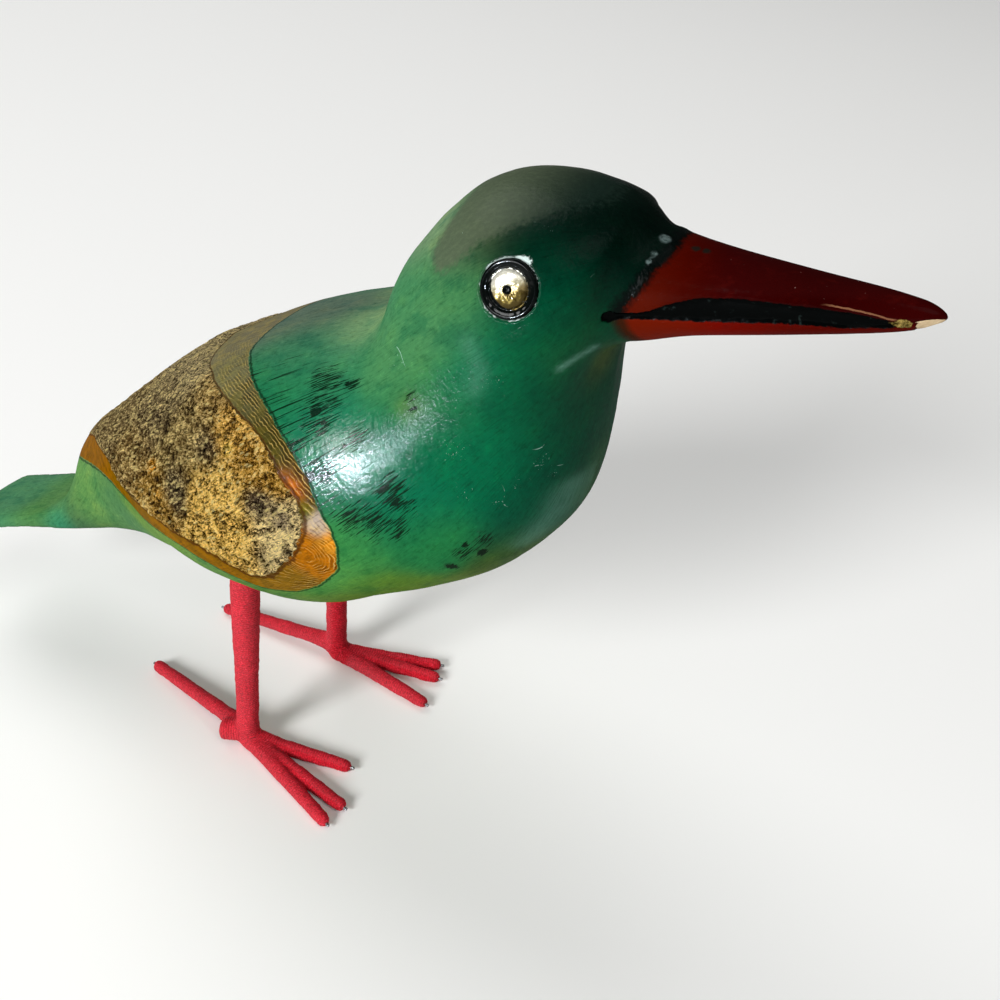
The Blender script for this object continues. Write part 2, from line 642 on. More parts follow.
def settled(points, forms):
    """Points moved onto the nearest of the lofted forms, except in the crease where these meet."""
    found = [[form.find_nearest(p) for p in points] for form in forms]
    places = [np.array([f[0] for f in row]) for row in found]
    gaps = [np.array([f[3] for f in row]) for row in found]
    nearest = np.where((gaps[0] < gaps[1])[:, None], places[0], places[1])
    clear = smooth_step(1.5, 5.0, np.abs(gaps[0] - gaps[1]))[:, None]
    return points + clear * (nearest - points)


def carved_skin():
    """The whole bird as one skin, finest on the bark and at the mouth, before the limb limits it."""
    settings = bpy.context.scene.bird_carving
    forms = [lofted(TORSO, 220, 360), lofted(BEAK, 120, 200)]
    trees = [BVHTree.FromBMesh(form) for form in forms]
    skin = merged_skin(forms, settings.skin_step / MM)
    edges = edge_pairs(skin)
    points = relaxed(points_of(skin), edges, 3)

    # The crease where the beak grows out of the head is rubbed round, and its tip drawn out in full.
    bs, _ = along(points, BEAK)
    points = relaxed(points, edges, 12, smooth_step(-18, -8, bs) * smooth_step(15, 8, bs), pulls=(0.5,))
    tip = BEAK["stations"][-1][0]
    drawn = np.maximum(bs - TIP_FROM, 0) * ((tip - TIP_FROM) / (bs.max() - TIP_FROM) - 1)
    points = points + drawn[:, None] * (math.cos(BEAK_PITCH), 0, math.sin(BEAK_PITCH))
    points = settled(points, trees)
    skin.vertices.foreach_set("co", points.ravel())

    # The mesh is made finer twice where there is most to show.
    for bark_edge, eye_reach, whole_beak in ((1.6, 9, True), (0.15, 6.5, False)):
        s, v = along(points, TORSO)
        bs, bv = along(points, BEAK)
        depth = limb_radius(s) - np.hypot(points[:, 1], v + LIMB_DROP)
        chosen = (depth < bark_edge) & (s < LIMB_FRONT + 2)
        chosen |= far_from(on_one_side(points), EYE_AT) < eye_reach
        if whole_beak:
            chosen |= (bs > -5) | (far_from(points, GAPE) < 6)
            for place, _, _ in GOUGES:
                chosen |= far_from(points, place) < 4
        else:
            mouth_in = inside_distance(np.column_stack([bs, bv]), MOUTH_OUTLINE)
            chosen |= (np.abs(mouth_in) < 0.9) & (bs > -2)
        skin = refined(skin, chosen)
        points = settled(points_of(skin), trees)
        skin.vertices.foreach_set("co", points.ravel())
    bs, _ = along(points, BEAK)
    points = relaxed(points, edge_pairs(skin), 2, smooth_step(-8, -4, bs) * smooth_step(14, 7, bs))
    return skin, points


def blended_tint(points, tints):
    """The colour at each point, blended between the tints by how near they are."""
    shares = np.zeros((len(points), 1))
    total = np.zeros((len(points), 3))
    for place, reach, colour in tints.values():
        far = far_from(points, place) / reach
        share = (np.exp(-0.9 * far**2) + 1e-4 / (1 + far**4))[:, None]
        shares += share
        total += share * linear(colour)
    return total / shares


def bark_relief(points):
    """Height of the bark's crust: broad lumps, chips that stand at uneven heights, crumbs and pits."""
    noise.seed_set(BARK_SEED)
    warped = points + np.array([noise.noise_vector(Vector(p) / 1.7) for p in points]) * 0.55
    lumps = noise_at(points, 5.0, 8.4, 3)
    ridges = 1 - 2 * np.abs(noise_at(points, 2.6, 5.1, 2))
    chips = chip_heights(warped, 1.3, 1.3)
    small_chips = chip_heights(warped, 0.65, 4.2)
    pits = smooth_step(0.25, 0.55, noise_at(points, 1.9, 12.0, 2))
    return 0.34 * lumps + 0.1 * ridges + 0.12 * chips + 0.09 * small_chips - 0.3 * pits


def with_chip(points, bs, bv):
    """The points with the chip cut off the beak's lower tip, and how far inside the chip each is."""
    (s0, v0), (s1, v1) = CHIP_LINE
    gone = v0 + (bs - s0) * (v1 - v0) / (s1 - s0) - CHIP_SLANT * points[:, 1] - 0.5 - bv
    lift = np.maximum(gone, 0) * smooth_step(s0 - 0.1, s0 + 0.3, bs)
    up = (-math.sin(BEAK_PITCH), 0, math.cos(BEAK_PITCH))
    points = points + np.minimum(lift, CHIP_DEPTH)[:, None] * up
    return points, np.where(bs > s0, gone, -1.0)


def with_eye_beds(points):
    """The points with the hollow that each tack was pressed into, and a lip of varnish round it. Also
    gives how far outside an eye each point is, and where the varnish shines above it."""
    round_eye = np.full(len(points), 9.0)
    glint = np.zeros(len(points))
    for sign in (-1, 1):
        centre, outward = eye_place(sign)
        offset = points - centre
        high = offset @ outward
        flat = np.linalg.norm(offset - high[:, None] * outward, axis=1)
        close = np.linalg.norm(offset, axis=1) < 9
        bed = smooth_step(EYE_RADIUS + 0.22, EYE_RADIUS, flat) * close
        points = points - outward * (bed * np.maximum(high + 1.2, 0))[:, None]
        lip = np.exp(-((flat - EYE_RADIUS - 0.5) / 0.32)**2) * close
        points = points + outward * (0.2 * lip)[:, None]
        round_eye = np.where(close, flat - EYE_RADIUS, round_eye)
        lit = centre + (1.6, 0, 0) + np.array([0, -sign * 0.3, 1.0]) * (EYE_RADIUS - 0.1)
        glint = np.maximum(glint, near(points, lit, (2.6, 2, 0.9)))
    return points, round_eye, glint


def carve_body():
    """Body, head, beak and tail in one piece of wood, with the bark left on its back."""
    settings = bpy.context.scene.bird_carving
    skin, points = carved_skin()
    s, v = along(points, TORSO)
    bs, bv = along(points, BEAK)
    side = np.column_stack([bs, bv])
    across = points[:, 1]
    reach = np.hypot(across, v + LIMB_DROP)
    depth = limb_radius(s) - reach
    around = np.degrees(np.arctan2(np.abs(across), v + LIMB_DROP))
    to_arc = (1, math.radians(1) * LIMB_ARC)
    on_limb = np.column_stack([s, around]) * to_arc
    wander = noise_at(points, 7, 3.1, 3) * 0.7 + noise_at(points, 1.6, 9.1, 2) * 0.25
    bark_in = inside_distance(on_limb, np.array(BARK_OUTLINE) * to_arc, mirrored=True) + wander
    bare_in = inside_distance(on_limb, np.array(BARE_OUTLINE) * to_arc, mirrored=True) + wander * 0.3

    # The blank is limited by the limb, and its corner is rounded over a fraction of a millimetre.
    held = LIMB_CORNER * np.logaddexp(0, depth / LIMB_CORNER)
    kept = (limb_radius(s) - held) / np.maximum(reach, 1e-6)
    points = placed(TORSO, s, across * kept, (v + LIMB_DROP) * kept - LIMB_DROP)
    folded = on_one_side(points)

    # Bark stands above the bared wood beside it, and is flatter over the back.
    normals = normals_of(skin, points)
    bark = smooth_step(-0.25, 0.35, bark_in) * smooth_step(1.2, 0.4, depth)
    relief = np.zeros(len(points))
    picked = np.nonzero(bark > 0.001)[0]
    relief[picked] = bark_relief(points[picked])
    relief *= 0.4 + 0.6 * smooth_step(15, 55, around)
    height = bark * (settings.bark_height + relief * settings.bark_roughness) / MM

    # Knife and sanding marks leave the painted wood a little uneven.
    painted = smooth_step(0.5, -0.5, bare_in) * smooth_step(20, 0, bs)
    height += painted * (noise_at(points, 9, 5.5, 2) * 0.12 + noise_at(points, 3.2, 7.7, 2) * 0.04)

    # The growth rings show on the band of bare wood, and close round in ovals at its lower corner.
    lined = (0.25 + 0.75 * smooth_step(30, 42, around)) * smooth_step(8, 20, s)
    corner = np.column_stack([points[:, 0], np.abs(across), points[:, 2]])
    rings = depth - OVAL_RISE * near(corner, OVAL_CENTRE, OVAL_REACH)

    # The mouth's groove and the lumps of filler.
    mouth_in = inside_distance(side, MOUTH_OUTLINE)
    height -= GROOVE_DEPTH * smooth_step(-0.1, 0.35, mouth_in)
    filler = np.zeros(len(points))
    for place, spread, rise in FILLER_LUMPS:
        share = near(points, place, spread)**2
        height += rise * share
        filler = np.maximum(filler, share)
    points = points + normals * height[:, None]
    points, chip_in = with_chip(points, bs, bv)
    points, round_eye, glint = with_eye_beds(points)

    # Gouges, scuffs and the places where the varnish was rubbed thin.
    s, v = along(points, TORSO)
    gouge = np.zeros(len(points))
    for place, long, wide in GOUGES:
        at_s, at_v = along(np.array([place]), TORSO)
        off_grain = np.hypot(v - at_v, across - place[1])
        gouge = np.maximum(gouge, np.exp(-((s - at_s) / long)**2 - (off_grain / wide)**2))
    flat_view = points[:, [0, 2]]
    rubbed = np.zeros(len(points))
    for line, spread, strength in PALE_RUBS:
        share = np.exp(-(off_line(flat_view, line) / spread)**2) * (across < -2)
        rubbed = np.maximum(rubbed, strength * share)
    measures = {
        "grain_along": s,
        "grain_round": np.radians(around) * LIMB_ARC,
        "forward": points[:, 0],
        "gloss": LEAST_GLOSS + SHOULDER_GLOSS * near(folded, SHOULDER, SHOULDER_REACH),
        "torn": patches(folded, TORN_GRAIN, TORN_SHARE),
        "scuffed": patches(points, SCUFFS),
        "gouge": gouge,
        "rubbed": rubbed,
        "round_eye": round_eye,
        "glint": glint,
        "cap_in": inside_distance(flat_view, CAP_OUTLINE),
        "bark_in": bark_in - 3 * smooth_step(0.8, 1.6, depth),
        "bare_in": bare_in,
        "ring_depth": rings,
        "lined": lined,
        "relief": relief,
        "filler": filler,
        "lacquer_in": beside_line(side, LACQUER_EDGE),
        "mouth_in": mouth_in,
        "chip_in": chip_in,
        "above_streak": bv - np.interp(bs, *np.array(PALE_STREAK).T),
        "dab": 1 - far_from(side / OLIVE_REACH, np.array(OLIVE_DAB) / OLIVE_REACH),
        "beak_along": bs,
        "beak_up": bv,
    }
    set_attributes(skin, measures | {name: blended_tint(folded, tints) for name, tints in TINTS.items()})
    for place, span, move in OUTLINE_NUDGES:
        points = points + near(folded, place, span)[:, None] * move
    finished(skin, points, "carved_body", "carved_body", painted_limewood(measures))


def eye_place(sign):
    """The middle of a tack on the head's surface and the direction it faces."""
    c, s = math.cos(EYE_LIFT), math.sin(EYE_LIFT)
    outward = np.array([math.sin(EYE_TURN) * c, sign * math.cos(EYE_TURN) * c, s])
    return np.array(EYE_AT) * (1, sign, 1), outward


def painted_limewood(measures):
    """Limewood under thin green glaze and gloss varnish, which shows its grain; bark and bare wood
    on the back, and dark red lacquer on the beak. The varnish gives sharp, broken highlights."""
    material, node = new_material("painted_limewood")
    place = node("TexCoord", out="Object")
    # In millimetres, with X along the bird's axis, which is the way the grain runs.
    grain_way = node("Mapping", place, Rotation=(0, AXIS_PITCH, 0), Scale=(1000, 1000, 1000))
    at = SimpleNamespace(**{name: node("Attribute", attribute_name=name, out="Fac") for name in measures})
    glaze, bare_tint, bark_tint = (node("Attribute", attribute_name=name, out="Color") for name in TINTS)
    # The same along the surface itself, for marks that the knife drew out on it.
    surface_way = node("CombineXYZ", at.grain_along, at.grain_round)

    def spots(size, detail=2.0, stretch=1.0, roughness=0.5, shift=0.0, way=grain_way):
        """Noise from 0 to 1 with lumps about size mm across, drawn out along the grain."""
        turned = node("Mapping", way, Scale=(1 / stretch, 1, 1), Location=(shift, shift, 0))
        return node("TexNoise", turned, Scale=1 / size, Detail=detail, Roughness=roughness)

    # Edges wander by a fraction of a millimetre, as a brush and a knife leave them.
    ragged = node("Math", spots(0.9, 3), 0.5, operation="SUBTRACT")

    def edge(value, start, end, low=0.0, high=1.0, wander=0.0, by=ragged):
        """Goes from low to high as a value passes from start to end, and wanders with a pattern."""
        if wander:
            value = node("Math", by, wander, value, operation="MULTIPLY_ADD")
        return node("MapRange", value, start, end, low, high, interpolation_type="SMOOTHSTEP")

    def line(value, shift, start, end, high=1.0, wander=0.0):
        """A ragged line along an outline, shifted a little inward or out."""
        value = node("Math", value, shift, operation="ADD")
        value = node("Math", ragged, wander, value, operation="MULTIPLY_ADD")
        return edge(node("Math", value, operation="ABSOLUTE"), start, end, 0.0, high)

    def both(share, *others):
        """The share of the surface where several things hold at once."""
        for other in others:
            share = node("Math", share, other, operation="MULTIPLY")
        return share

    def most(share, *others):
        """The share of the surface where any of several things holds."""
        for other in others:
            share = node("Math", share, other, operation="MAXIMUM")
        return share

    bark_mask = edge(at.bark_in, -0.1, 0.2, wander=1.8)
    bare_mask = edge(at.bare_in, -0.15, 0.2, wander=0.7)
    lacquer_mask = edge(at.lacquer_in, -0.4, 0.5, wander=1.2)
    mouth_mask = edge(at.mouth_in, -0.2, 0.05, wander=0.6)

    # Green glaze, rubbed thin and thick: cloudy patches, strokes along the grain and fine mottle.
    cloud = spots(5.0, 5, 1.3, 0.62)
    mottle = spots(0.9, 5, 1.5, 0.75)
    strokes = spots(0.4, 4, 9.0, 0.6, way=surface_way)
    green = toned(node, glaze, (
        (cloud, 0.5, 0.3, 0.75, (0.45, 0.72, 0.78)), (cloud, 0.5, 0.72, 0.55, (1.6, 1.25, 1.05)),
        (mottle, 0.5, 0.3, 0.7, (0.5, 0.6, 0.55)), (mottle, 0.52, 0.75, 0.5, (1.9, 1.6, 1.5)),
        (strokes, 0.47, 0.33, 0.5, (0.4, 0.5, 0.45)), (strokes, 0.55, 0.7, 0.35, (1.7, 1.5, 1.3)),
    ))

    # The cap is a separate coat, grey over the olive at the nape and almost black in front.
    cap_colour = layered(node, linear("485240"), ((edge(at.forward, 54, 72), linear("14221c")),))
    cap_colour = toned(node, cap_colour, ((mottle, 0.4, 0.7, 0.5, (1.5, 1.5, 1.4)),))
    green = layered(node, green, (
        (edge(at.cap_in, -0.9, 0.9, 0, 0.85, wander=3.0), cap_colour),
        (both(at.rubbed, edge(strokes, 0.3, 0.6, 0.5, 1.0)), linear("6c9c8a")),
    ))

    # Torn grain in clusters, gouges, and long dark scores that run out from the band of bare wood.
    tears = spots(0.3, 2, 12.0, 0.5, 17.0, surface_way)
    torn = both(edge(tears, 0.68, 0.74, wander=0.24, by=at.torn), edge(at.torn, 0.12, 0.4))
    from_band = edge(at.bare_in, -18, -2)
    scores = edge(spots(0.42, 1, 26.0, 0.35, 31.0, surface_way), 0.72, 0.77, wander=0.13, by=from_band)
    scores = both(scores, edge(at.lined, 0.3, 0.7), from_band, edge(at.grain_round, 62, 57))
    gouges = node("Math", ragged, 0.7, at.gouge, operation="MULTIPLY_ADD")
    gouges = both(edge(gouges, 1.1, 1.25, wander=1.4, by=tears), edge(at.gouge, 0.1, 0.3))
    cuts = most(torn, scores, gouges)

    # White scratches and flecks in the varnish, in a few patches only.
    scratch = node("Math", spots(9, 0, 0.6, 0.3, 47.0), 0.5, operation="SUBTRACT")
    scratch = edge(node("Math", scratch, operation="ABSOLUTE"), 0.005, 0.002)
    scratch = both(scratch, edge(spots(1.6, 2, 1.0, 0.6, 3.0), 0.5, 0.56))
    fleck = edge(spots(0.5, 3, 0.5, 0.6, 13.0), 0.78, 0.81, wander=0.16, by=at.scuffed)
    green = layered(node, green, (
        (both(cuts, 0.92), linear("041209")),
        (line(at.bare_in, 0.35, 0.4, 0.05, 0.8, wander=0.9), linear("0c1c0e")),
        (both(most(scratch, fleck), edge(at.scuffed, 0.15, 0.5, 0.0, 0.65)), linear("a8c8bc")),
    ))

    # Bark: each crumb has its own tone, from brown-black in the pits to cream on the chips.
    crumbs = node("TexVoronoi", grain_way, Scale=1.9, Detail=2.0, Roughness=0.6, out="Color")
    crumb_tone = node("SeparateColor", crumbs)
    grit = spots(0.3, 4, 2.0, 0.8)
    tone = node("Math", at.relief, 0.55, both(crumb_tone, 0.45), operation="MULTIPLY_ADD")
    tone = node("Math", tone, node("Math", grit, 1.5, -0.5, operation="MULTIPLY_ADD"), operation="ADD")
    bark_light = node("ValToRGB", tone, stops=(
        (0.0, (0.03, 0.025, 0.02)), (0.28, (0.12, 0.1, 0.09)), (0.44, (0.52, 0.47, 0.4)),
        (0.6, (1.5, 1.5, 1.4)), (1.0, (2.6, 2.6, 2.4))))
    bark = tinted(node, bark_tint, bark_light)

    # Flakes of bark stand out pale or dark, with fibres and sooty patches over them.
    flake_way = node("Mapping", grain_way, Scale=(0.4, 1, 1), Rotation=(0, 0.5, 0))
    flake_colour = node("TexVoronoi", flake_way, Scale=1.35, out="Color")
    flake_tone = node("SeparateColor", flake_colour, out=1)
    flake = edge(flake_colour.node.outputs["Distance"], 0.95, 0.8, wander=1.0, by=grit)
    fibres = spots(0.3, 3, 7.0, 0.6, 5.0, surface_way)
    bark = layered(node, bark, (
        (edge(tone, 0.7, 1.0, 0.0, 0.8), linear("ecd48c")),
        (both(edge(flake_tone, 0.72, 0.8, 0.0, 0.7), flake), linear("e0cc84")),
        (both(edge(flake_tone, 0.3, 0.22, 0.0, 0.75), flake), linear("1e1812")),
    ))
    bark = toned(node, bark, (
        (fibres, 0.48, 0.36, 0.6, (0.3, 0.27, 0.25)), (fibres, 0.55, 0.7, 0.5, (1.9, 1.9, 1.8)),
        (spots(2.2, 3, 1.0, 0.6, 9.0), 0.6, 0.68, 0.5, (0.3, 0.28, 0.3)),
    ))

    # Bare wood under amber varnish: growth rings as thin light lines, closest near the paint.
    wobble = node("Math", spots(3.0, 2), 0.5, both(spots(0.8, 3), 0.13), operation="MULTIPLY_ADD")
    ring_wave = both(node("Math", at.ring_depth, wobble, operation="ADD"), 2 * math.pi / RING_STEP)
    ring_wave = node("Math", ring_wave, operation="SINE")
    rings_seen = both(at.lined, edge(at.bare_in, 0.5, 4.5, 1.0, 0.6),
                      edge(spots(2.4, 3, 1.0, 0.5, 19.0), 0.4, 0.58, 0.15, 1.0))
    bare = toned(node, bare_tint, (
        (spots(2.2, 4, 1.0, 0.6), 0.4, 0.65, 0.6, (1.8, 1.6, 0.9)),
        (strokes, 0.5, 0.35, 0.6, (0.45, 0.4, 0.3)),
        (spots(0.5, 4, 4.0, 0.7, 8.0), 0.6, 0.72, 0.5, (1.9, 1.8, 1.6)),
    ))
    ring_dark = tinted(node, bare, (0.35, 0.26, 0.16))
    bare = layered(node, bare, (
        (both(edge(ring_wave, 0.1, -0.7, 0, 0.7), rings_seen), ring_dark),
        (both(edge(ring_wave, 0.72, 1.0, 0, 0.75), rings_seen), linear("c0a058")),
        (line(at.bark_in, 0.5, 0.7, 0.1, 0.8, wander=1.2), linear("3a1c06")),
    ))

    # Lacquer on the beak: orange at its root and along its lower half, near black red above.
    out_along_beak = edge(at.beak_along, 0, 52)
    upper_red = node("ValToRGB", out_along_beak, stops=(
        (0.0, linear("440a02")), (0.12, linear("380400")), (0.28, linear("2c0000")),
        (0.7, linear("220000")), (1.0, linear("2c0202"))))
    lower_red = node("ValToRGB", out_along_beak, stops=(
        (0.0, linear("601402")), (0.25, linear("600600")), (0.6, linear("480400")),
        (1.0, linear("440400"))))
    lacquer = layered(node, upper_red, (
        (both(edge(at.beak_along, 11, 3), edge(at.beak_up, 4.5, 0.5)), linear("4c0e02")),
        (edge(at.beak_up, -1.2, -2.2), lower_red),
        (both(edge(at.beak_up, 1.6, 3.2), edge(at.beak_along, 10, 20, 0.0, 0.45)), linear("2c0606")),
        (edge(spots(2.2, 5, 3.0, 0.65), 0.52, 0.75, 0, 0.3), linear("480c08")),
        (edge(spots(0.5, 3, 1.0, 0.5, 2.0), 0.74, 0.8, 0, 0.5), linear("b08880")),
    ))

    # Black runs along the lacquer's edge, brown below it, and fills the mouth.
    root_edge = node("Math", at.lacquer_in, 0.5, operation="ADD")
    root_edge = node("Math", ragged, 2.4, root_edge, operation="MULTIPLY_ADD")
    root_edge = node("Math", node("Math", root_edge, operation="ABSOLUTE"),
                     edge(at.beak_up, -1.5, -3, 0.0, 2.0), operation="ADD")
    root_brown = both(edge(at.lacquer_in, 2.2, 0.6), edge(at.lacquer_in, -1.6, -0.2),
                      edge(at.beak_up, -1.5, -2.8, 0.0, 0.85))
    dust = edge(spots(1.2, 4), 0.62, 0.75, 0, 0.3)
    black = layered(node, linear("020303"), ((dust, linear("303e3c")),))
    filler = layered(node, linear("26322f"), (
        (edge(mottle, 0.35, 0.6), linear("5c6c6a")), (edge(at.beak_along, 8.5, 10), linear("0c1612"))))
    streak = both(line(at.above_streak, 0.0, 0.2, 0.08, wander=0.3),
                  edge(at.beak_along, 33, 36), edge(at.beak_along, 45.5, 44.5), 0.45)
    olive = layered(node, linear("30280c"), ((edge(mottle, 0.4, 0.65), linear("9a8448")),))

    # A broken white lip round each eye, the smear above it, and the chip at the beak's tip.
    lip = both(line(at.round_eye, -0.1, 0.2, 0.08, wander=0.5),
               edge(spots(2.2, 2, 1.0, 0.5, 6.0), 0.44, 0.54, 0.1, 0.9))
    smear = edge(at.glint, 1.02, 1.3, 0.0, 0.9, wander=1.1, by=spots(0.7, 4, 3.0, 0.7, 4.0))
    chip = layered(node, linear("a07c50"), ((mottle, linear("f0dcb8")),))
    colour = layered(node, green, (
        (lacquer_mask, lacquer), (edge(root_edge, 1.9, 0.3, 0.0, 0.95), linear("020605")),
        (root_brown, linear("241608")), (mouth_mask, black), (edge(at.filler, 0.3, 0.7, 0, 0.8), filler),
        (streak, linear("a07050")), (edge(at.dab, 0.0, 0.15, wander=0.8), olive),
        (most(lip, smear), linear("d0e0dc")), (edge(at.chip_in, -0.1, 0.05, wander=0.4), chip),
        (bare_mask, bare), (bark_mask, bark),
    ))

    # Relief under the varnish: grain, crumbs in the bark and steps at the rings, in tenths of a mm.
    grain_height = node("Math", strokes, 0.3, both(mottle, 0.35), operation="MULTIPLY_ADD")
    for pattern, rise in ((spots(1.1, 2, 0.7, 0.5, 21.0), 0.75), (cuts, -0.9)):
        grain_height = node("Math", pattern, rise, grain_height, operation="MULTIPLY_ADD")
    smooth = most(both(lacquer_mask, 0.75), mouth_mask)
    grain_height = both(grain_height, node("Math", 1.0, smooth, operation="SUBTRACT"))
    ring_height = both(ring_wave, rings_seen)
    ring_height = node("Math", ring_height, 0.5, both(mottle, 0.5), operation="MULTIPLY_ADD")
    bark_height = node("Math", grit, 4.5, both(crumb_tone, 1.6), operation="MULTIPLY_ADD")
    height = node("Mix", bare_mask, i2=grain_height, i3=ring_height)
    height = node("Mix", bark_mask, i2=height, i3=bark_height)
    bump = node("Bump", Strength=1.0, Distance=0.00016, Height=height)

    # Gloss comes from the varnish alone: full on the shoulder, thin on the lacquer, hardly any on bark.
    coat = node("Mix", most(lacquer_mask, mouth_mask), i2=at.gloss, i3=0.04)
    coat = node("Mix", bark_mask, i2=node("Mix", bare_mask, i2=coat, i3=0.05), i3=0.04)
    roughness = node("Mix", bark_mask, i2=edge(cloud, 0.3, 0.7, 0.26, 0.4), i3=0.5)
    shader = node("BsdfPrincipled", Base_Color=colour, Roughness=roughness, Normal=bump,
                  Specular_IOR_Level=0.0, Coat_Weight=coat, Coat_Roughness=0.12, Coat_Normal=bump)
    node("OutputMaterial", shader)
    return material


def wrap_leg(name):
    """One leg: wire bent into a shaft and four toes, wrapped in thread, its bare ends sticking out."""
    settings = bpy.context.scene.bird_legs
    leg, size = LEGS[name], SimpleNamespace(**LEG)
    x, y = leg["foot"]
    foot = Vector((x, y, size.ankle - size.flat))
    hip = Vector((x + leg["lean"][0], y + leg["lean"][1], leg["hip_height"]))
    length = (hip - foot).length + size.in_body
    forms = [rod(foot, hip, ((-size.ankle, 0), (-size.ankle * 0.75, size.ankle * 0.66), (0, size.ankle),
                             (5, size.shin), (18, size.shin), (length - 20, size.hip),
                             (length - 1.5, size.hip), (length, 0)), 32, 0.6)]
    runs = [(foot, hip, length, size.ankle)]
    wires = []
    wide, end = size.toe_root, size.toe_tip
    for heading, reach, rise in leg["toes"]:
        angle = math.radians(heading)
        root = Vector((x, y, wide - size.flat + rise))
        tip = Vector((x + reach * math.cos(angle), y + reach * math.sin(angle), end - size.flat))
        forms.append(rod(root, tip, (
            (-wide, 0), (0, wide * 1.35), (4, wide * 1.2), (9, wide), (reach - end, end),
            (reach - end * 0.4, end * 0.86), (reach, end * 0.35), (reach + 0.15, 0)), 24, 0.6))
        runs.append((root, tip, reach, wide))
        wires.append(rod(root, tip, (
            (reach - 2.5, 0), (reach - 2.4, size.wire), (reach + size.stub - 0.12, size.wire),
            (reach + size.stub, 0)), 14, 0.12))
    if leg["offcut"]:
        heading, reach, rise = leg["offcut"]
        angle = math.radians(heading)
        start = Vector((x, y, size.ankle + 1.2))
        cut = start + Vector((math.cos(angle) * reach, math.sin(angle) * reach, rise))
        forms.append(rod(start, cut, (
            (-2, 0), (0, 3.0), (reach - 1.2, 2.7), (reach - 0.3, 2.3), (reach, 0)), 24, 0.6))
        runs.append((start, cut, reach, 2.8))
    skin = merged_skin(forms, settings.skin_step / MM)
    edges = edge_pairs(skin)
    points = relaxed(points_of(skin), edges, 2)

    # Thread fills the forks between the toes, so they are webbed there.
    points = relaxed(points, edges, 30, smooth_step(16, 5, far_from(points, foot)), pulls=(0.5,))

    # Each turn of thread stands out a little, and the whole wrapping is lumpy and worn.
    nearest = np.full(len(points), FAR_OFF)
    wound = np.zeros(len(points))
    for start, end, reach, wide in runs:
        direction = np.array((end - start).normalized())
        offset = points - np.array(start)
        at = offset @ direction
        gap = np.linalg.norm(offset - np.clip(at, 0, reach)[:, None] * direction, axis=1) - wide
        wound = np.where(gap < nearest, at, wound)
        nearest = np.minimum(gap, nearest)
    turns = np.cos(wound / (settings.thread_step / MM) * 2 * math.pi) * 0.035
    lumps = noise_at(points, 3.5, 2.0, 3) * 0.16 + noise_at(points, 0.9, 6.0, 2) * 0.06
    points = points + normals_of(skin, points) * (turns + lumps)[:, None]
    points[:, 2] = np.maximum(points[:, 2], 0.0)
    set_attributes(skin, {"along": wound})
    finished(skin, points, name, name, wrapped_thread())
    ends = joined(wires)
    finished(ends, points_of(ends), name + "_wire_ends", name, cut_steel_wire())


def wrapped_thread():
    """Red cotton thread wound close over wire and worn fuzzy: matt, with a soft sheen at its edges."""
    settings = bpy.context.scene.bird_legs
    material, node = new_material("wrapped_cotton_thread")
    millimetres = node("Mapping", node("TexCoord", out="Object"), Scale=(1000, 1000, 1000))
    fuzz = node("TexNoise", millimetres, Scale=2.6, Detail=4, Roughness=0.7)
    worn = node("TexNoise", millimetres, Scale=0.16, Detail=3)
    wound = node("Attribute", attribute_name="along", out="Fac")
    wave = node("Math", wound, 2 * math.pi * MM / settings.thread_step,
                node("Math", fuzz, 3.0, operation="MULTIPLY"), operation="MULTIPLY_ADD")
    wave = node("Math", wave, operation="SINE")
    red = node("ValToRGB", fuzz, stops=(
        (0.3, linear("6a0010")), (0.45, linear("b4061a")), (0.6, settings.thread_colour),
        (0.75, linear("ea5468"))))
    level = node("Math", node("MapRange", wave, -1.0, 1.0, 0.86, 1.04),
                 node("MapRange", worn, 0.3, 0.7, 0.85, 1.1), operation="MULTIPLY")
    colour = node("VectorMath", red, operation="SCALE", Scale=level)
    height = node("Math", wave, 0.35, fuzz, operation="MULTIPLY_ADD")
    bump = node("Bump", Strength=0.8, Distance=0.00018, Height=height)
    shader = node("BsdfPrincipled", Base_Color=colour, Roughness=0.85, Normal=bump, Sheen_Weight=0.15,
                  Sheen_Roughness=0.4, Sheen_Tint=linear("ff8a96"), Specular_IOR_Level=0.25)
    node("OutputMaterial", shader)
    return material


def cut_steel_wire():
    """Plain steel wire where it was snipped off: grey, fairly bright, drawn finish."""
    material, node = new_material("cut_steel_wire")
    marks = node("TexNoise", node("TexCoord", out="Object"), Scale=3000, Detail=3)
    colour = node("ValToRGB", marks, stops=((0.3, linear("5a5c5e")), (0.7, linear("9a9c9e"))))
    node("OutputMaterial", node("BsdfPrincipled", Base_Color=colour, Metallic=1.0, Roughness=0.38))
    return material


